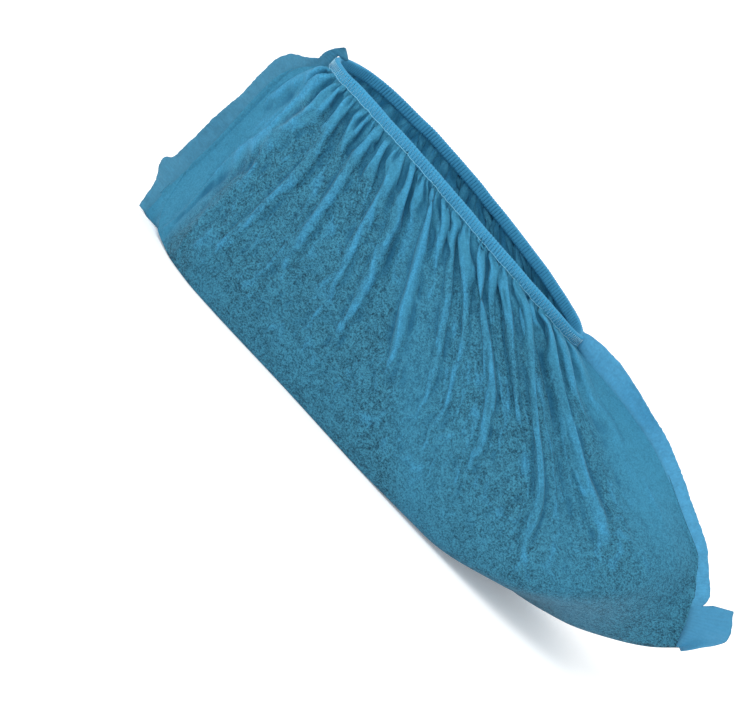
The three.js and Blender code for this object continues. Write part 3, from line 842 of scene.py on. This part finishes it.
class COVER_OT_hem(bpy.types.Operator):
    """Make the ribbed elastic hem and its thread"""

    bl_idname = "cover.hem"
    bl_label = "Elastic hem"

    def execute(self, context):
        sizes = context.scene.cover_sizes
        sheet = Sheet(sizes)
        path, out, run, length = rim_path(sheet, HEM_POINTS)
        ribs = round(length / sizes.rib_pitch)
        phase = run / length * ribs
        half, tall = sizes.hem_thickness / 2, sizes.hem_height
        inset = MM * 0.6
        points, groove_shade = [], []
        for k in range(HEM_ROUND):
            angle = 2 * math.pi * k / HEM_ROUND
            flat = math.copysign(abs(math.cos(angle)) ** 0.55, math.cos(angle))
            rise = math.copysign(abs(math.sin(angle)) ** 0.75, math.sin(angle))
            rib = np.abs(np.cos(math.pi * (phase + 0.16 * rise))) ** 0.7
            deep = 0.75 + 0.45 * rough(phase * 0.45, 60)
            swell = MM * (0.75 * (rib - 0.7) * deep + 0.3 * rough(run / MM / 9, 61))
            place = path + out * ((half + swell) * flat - inset)[:, None]
            top = 0.35 * (rib - 0.7) * deep * max(rise, 0) + 0.25 * rough(run / MM / 11, 62)
            place[:, 2] += tall * (0.5 + 0.5 * rise) + MM * top
            points.append(place)
            # Painted shade: low values darken the grooves between the ribs in the finish, and the flat top and
            # bottom get a lighter mark.
            groove_shade.append(np.clip(0.15 + 0.75 * rib + 0.3 * (abs(rise) > 0.9), 0, 1))
        points = np.stack(points, 1)
        index = np.arange(HEM_POINTS * HEM_ROUND).reshape(HEM_POINTS, HEM_ROUND)
        following, beside = np.roll(index, -1, 0), np.roll(index, -1, 1)
        corner = np.roll(following, -1, 1)
        faces = np.stack([index, following, corner, beside], -1).reshape(-1, 4).tolist()
        material = web_finish("gathered_hem_web", context.scene.cover_colours, doubled=True)
        made = mesh_object("hem_channel", points.reshape(-1, 3), faces, material)
        mark_web(made, 0, np.stack(groove_shade, 1).ravel())
        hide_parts("elastic_hem")
        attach(made, "root")

        thread = self.thread(context, path, out, length, sizes, inset)
        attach(thread, "root")
        return {"FINISHED"}

    def thread(self, context, path, out, length, sizes, inset):
        """A fine zigzag thread round the hem's outer face, with a straight row under it."""
        half = sizes.hem_thickness / 2 - inset + MM * 0.38
        curve = bpy.data.curves.new("hem_thread", "CURVE")
        curve.dimensions = "3D"
        curve.bevel_depth = MM * 0.12
        curve.bevel_resolution = 1
        zigs = 2 * round(length / sizes.rib_pitch)
        index = np.linspace(0, HEM_POINTS, zigs, endpoint=False).astype(int) % HEM_POINTS
        zig = np.where(np.arange(zigs) % 2, 1, -1)
        drift = rough(np.arange(zigs) * 0.3, 63) * 0.6 + rough(np.arange(zigs) * 1.1, 64) * 0.4
        for share in (0.5 + 0.28 * zig, 0.14 + 0.07 * drift):
            points = path[index] + out[index] * half
            points[:, 2] += sizes.hem_height * share
            spline = curve.splines.new("POLY")
            spline.points.add(len(points) - 1)
            spline.points.foreach_set("co", np.column_stack([points, np.ones(len(points))]).ravel())
            spline.use_cyclic_u = True
        curve.materials.append(thread_finish("hem_thread", context.scene.cover_colours))
        made = bpy.data.objects.new("hem_thread", curve)
        context.scene.collection.objects.link(made)
        return made


def weld_finish(name, colours, tone, root):
    """Welded edge: two webs pressed together and ribbed; root says how much painted shade lies on its root
    line and ear.
    """
    f = Finish(name)
    place = f.node("TexCoord").value("Object")
    marks = f.node("Attribute", {"attribute_name": "web"}).value("Color")
    split = f.node("SeparateColor", inputs={"Color": marks})
    along, across = split.value("Red"), split.value("Green")
    wave = f.node("Math", {"operation": "SINE"}, {0: along * math.tau * WELD_RIBS}).value()
    ribs = f.between(wave, -1, 1)
    grain = f.between(f.noise(place, 330, 3, 0.65) * 0.6 + f.noise(place, 1050) * 0.4, 0.36, 0.64)
    colour = f.mix(grain, rgba(tone, 0.85), rgba(tone, 1.13))
    pressed = f.between(across, 0.3, 0.15)
    base = f.mix(pressed * 0.35, colour, rgba(colours.web, 0.85))
    # Painted shade on the strip's first stretch, where the ear is.
    base = f.mix(f.between(along, 0.14, 0.1) * 0.8 * root, base, rgba(tone, 0.8))
    # Painted shade: a dark line along the strip's root.
    base = f.mix(f.between(across, 0.16, 0.02) * root, base, rgba(colours.crease, 1.2))
    relief = ribs * 0.6 + grain * 0.4
    bump = f.node("Bump", inputs={"Height": relief, "Strength": 0.4, "Distance": 0.0004}).value("Normal")
    surface = f.node("BsdfPrincipled", inputs={
        "Base Color": base,
        "Roughness": f.between(grain, 0, 1, 0.62, 0.48),
        "Normal": bump,
        "Sheen Weight": 0.2,
        "Specular IOR Level": 0.35,
    }).value()
    return f.finished(surface, rgba(colours.doubled), 0.2)


class COVER_OT_seams(bpy.types.Operator):
    """Make the welded seam allowances at the toe and the heel"""

    bl_idname = "cover.seams"
    bl_label = "Welded seams"

    def execute(self, context):
        colours = context.scene.cover_colours
        # Each strip's last value is how much painted shade its root line and ear get.
        for name, node, u, table, tab, tone, root in (
            ("toe_weld", "toe_seam", 1.0, TOE_SEAM, (), colours.doubled, 0.8),
            ("heel_weld", "heel_seam", 0.0, HEEL_SEAM, HEEL_TAB, colours.web, 0.0),
        ):
            material = weld_finish(name + "_web", colours, tone, root)
            made = self.strip(context, name, u, np.array(table), np.array(tab), material)
            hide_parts(node)
            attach(made, "root")
        return {"FINISHED"}

    def strip(self, context, name, u, table, tab, material):
        """A thin strip that stands out from the end seam at u, as wide as its table says."""
        sizes = context.scene.cover_sizes
        sheet = Sheet(sizes)
        at_toe = u == 1.0
        forward = 1.0 if at_toe else -1.0
        t = np.linspace(0, table[-1, 0], STRIP_POINTS)

        def ridge(where):
            """Points of the end seam at these shares of the way up."""
            place = sheet.smooth(np.full_like(where, u), np.clip(where, 0, 1), -np.ones_like(where))
            place[:, 1] = 0
            return place

        tangent = ridge(t + 0.02) - ridge(t - 0.02)
        tangent /= np.linalg.norm(tangent, axis=1, keepdims=True)
        level = 1 if at_toe else 1 - ease(t, 0.88, 1)
        out = np.stack([forward * tangent[:, 2], 0 * t, -forward * tangent[:, 0] * level], 1)
        out /= np.linalg.norm(out, axis=1, keepdims=True)
        width = through_points(table[:, 0], table[:, 1], t) * MM
        lean = through_points(table[:, 0], table[:, 2], t) * MM
        base = ridge(t)
        run = np.concatenate([[0], np.cumsum(np.linalg.norm(np.diff(base, axis=0), axis=1))])
        start = np.full_like(t, -MM * ROOT_DEPTH) * (1 - ease(t, 0.9, 1))
        ear = at_toe * (1 - ease(t, 0.0, 0.1))
        tip = at_toe * ease(t, 0.08, 0.127) * (1 - ease(t, 0.129, 0.135))
        top_end = at_toe * ease(t, 0.92, 0.994)
        if len(tab):
            rise = np.linspace(0.4, tab[-1, 0], CORNER_POINTS)
            corner = np.repeat(base[-1:], len(rise), 0)
            corner[:, 2] += rise * MM
            base = np.concatenate([base, corner])
            out = np.concatenate([out, np.repeat(out[-1:], len(rise), 0)])
            start = np.concatenate([start, np.interp(rise, tab[:, 0], tab[:, 1]) * MM])
            width = np.concatenate([width, through_points(tab[:, 0], tab[:, 2], rise) * MM])
            lean = np.concatenate([lean, lean[-1] - MM * 0.25 * rise])
            run = np.concatenate([run, run[-1] + rise * MM])
            ear, tip, top_end = (np.concatenate([part, 0 * rise]) for part in (ear, tip, top_end))
        half = sizes.seam_thickness / 2
        ruffle = MM * (1.1 * np.sin(run / 0.0105 + 0.6) + 0.9 * rough(run / 0.007, 70))
        ruffle *= np.clip(width / 0.006, 0, 1)
        ragged = MM * 0.2 * rough(run / 0.0012, 71)
        layers = []
        for face in (-1, 1):
            rows = []
            for k in range(STRIP_STEPS + 1):
                share = k / STRIP_STEPS
                reach = start + (width + ragged - start) * share
                root = 1 if at_toe else ease(share, -0.05, 0.4)
                aside = (lean + ruffle) * share ** 1.6 + face * half * root * (1 - 0.35 * share)
                aside -= MM * ear * EAR_LEAN * (share ** 1.3 - 0.5 * math.sin(5.5 * share) * share)
                place = base + out * reach[:, None]
                place[:, 0] -= MM * END_LEAN * top_end * share ** 1.6
                place[:, 1] += aside
                place[:, 2] += MM * EAR_LIFT * tip * share ** 2
                rows.append(place)
            layers.append(np.stack(rows, 1))
        shape = layers[0].shape[:2]
        points = np.concatenate([layer.reshape(-1, 3) for layer in layers])
        index = np.arange(shape[0] * shape[1]).reshape(shape)
        other = index + index.size
        faces = []

        def skin(grid, flip):
            """Adds the faces between a grid's points, the other way round if flip."""
            a, b, c, d = grid[:-1, :-1], grid[:-1, 1:], grid[1:, 1:], grid[1:, :-1]
            quad = (a, b, c, d) if flip else (d, c, b, a)
            faces.extend(np.stack(quad, -1).reshape(-1, 4).tolist())

        skin(index, not at_toe)
        skin(other, at_toe)
        for line, twin, flip in (
            (index[:, -1], other[:, -1], True),
            (index[:, 0], other[:, 0], False),
            (index[0], other[0], True),
            (index[-1], other[-1], False),
        ):
            a, b, c, d = line[:-1], line[1:], twin[1:], twin[:-1]
            quad = (a, b, c, d) if flip == at_toe else (d, c, b, a)
            faces.extend(np.stack(quad, -1).tolist())
        made = mesh_object(name, points, faces, material)
        along = np.repeat(run / WELD_MEASURE, shape[1])
        across = np.tile(np.linspace(0, 1, STRIP_STEPS + 1), shape[0])
        mark_web(made, np.tile(along, 2), np.tile(across, 2))
        return made


class COVER_OT_studio(bpy.types.Operator):
    """Make the pale floor, the soft light and the camera"""

    bl_idname = "cover.studio"
    bl_label = "Studio"

    def execute(self, context):
        scene = context.scene
        studio = scene.cover_studio
        f = Finish("pale_floor")
        surface = f.node("BsdfPrincipled", inputs={
            "Base Color": (0.9, 0.9, 0.9, 1),
            "Roughness": 0.7,
            "Specular IOR Level": 0.1,
            "Emission Color": (1, 1, 1, 1),
            "Emission Strength": 0.22,
        }).value()
        f.node("OutputMaterial", inputs={"Surface": surface})
        reach, level = 30.0, -scene.cover_sizes.wall - 0.0002
        corners = [(x * reach, y * reach, level) for x, y in ((-1, -1), (1, -1), (1, 1), (-1, 1))]
        floor = mesh_object("studio_floor", corners, [(0, 1, 2, 3)], f.material, smooth=False)

        world = bpy.data.worlds.new("white_surroundings")
        world.use_nodes = True
        background = world.node_tree.nodes["Background"]
        background.inputs["Color"].default_value = (1, 1, 1, 1)
        background.inputs["Strength"].default_value = studio.sky
        scene.world = world
        scene.view_settings.view_transform = "Standard"

        back = Vector((math.sin(studio.azimuth) * math.cos(studio.elevation),
                       -math.cos(studio.azimuth) * math.cos(studio.elevation), math.sin(studio.elevation)))
        right = Vector((math.cos(studio.azimuth), math.sin(studio.azimuth), 0))
        upright = back.cross(right)
        turned_right = right * math.cos(studio.roll) + upright * math.sin(studio.roll)
        turned_up = upright * math.cos(studio.roll) - right * math.sin(studio.roll)
        pixel = studio.frame_width / PICTURE_WIDTH
        aim = Vector((0, 0, 0.06)) - turned_right * AIM_RIGHT * pixel + turned_up * AIM_DOWN * pixel
        camera_data = bpy.data.cameras.new("product_camera")
        camera_data.sensor_width = 36
        camera_data.lens = camera_data.sensor_width * studio.distance / studio.frame_width
        camera_data.clip_end = 100
        camera = bpy.data.objects.new("product_camera", camera_data)
        turn = Matrix((turned_right, turned_up, back)).transposed()
        camera.matrix_world = Matrix.Translation(aim + back * studio.distance) @ turn.to_4x4()
        scene.collection.objects.link(camera)
        scene.camera = camera

        lights = (
            ("key_light", (-0.55, -0.8, 0.95), 0.9, studio.key_power),
            ("fill_light", (0.9, -0.7, 0.5), 1.1, studio.fill_power),
            ("back_light", (0.1, 0.9, 0.9), 0.9, studio.fill_power),
        )
        for name, place, size, power in lights:
            data = bpy.data.lights.new(name, "AREA")
            data.shape = "SQUARE"
            data.size = size
            data.energy = power
            lamp = bpy.data.objects.new(name, data)
            lamp.location = place
            aim_at = Vector((0, 0, 0.05)) - Vector(place)
            lamp.rotation_euler = aim_at.to_track_quat("-Z", "Y").to_euler()
            scene.collection.objects.link(lamp)
        return {"FINISHED"}


class COVER_PT_panel(bpy.types.Panel):
    """Buttons for the cover's pieces"""

    bl_idname = "COVER_PT_panel"
    bl_label = "Shoe Cover"
    bl_space_type = "VIEW_3D"
    bl_region_type = "UI"
    bl_category = "Shoe Cover"

    def draw(self, context):
        for operator in OPERATORS:
            self.layout.operator(operator.bl_idname)


OPERATORS = (COVER_OT_body, COVER_OT_hem, COVER_OT_seams, COVER_OT_studio)
GROUPS = {"cover_sizes": CoverSizes, "cover_colours": CoverColours, "cover_studio": StudioSettings}


def register():
    for kind in (*GROUPS.values(), *OPERATORS, COVER_PT_panel):
        bpy.utils.register_class(kind)
    for name, kind in GROUPS.items():
        setattr(bpy.types.Scene, name, PointerProperty(type=kind))


def unregister():
    for name in GROUPS:
        delattr(bpy.types.Scene, name)
    for kind in (COVER_PT_panel, *OPERATORS[::-1], *GROUPS.values()):
        bpy.utils.unregister_class(kind)


def main():
    register()
    bpy.ops.cover.body()
    bpy.ops.cover.hem()
    bpy.ops.cover.seams()
    bpy.ops.cover.studio()


if __name__ == "__main__":
    main()
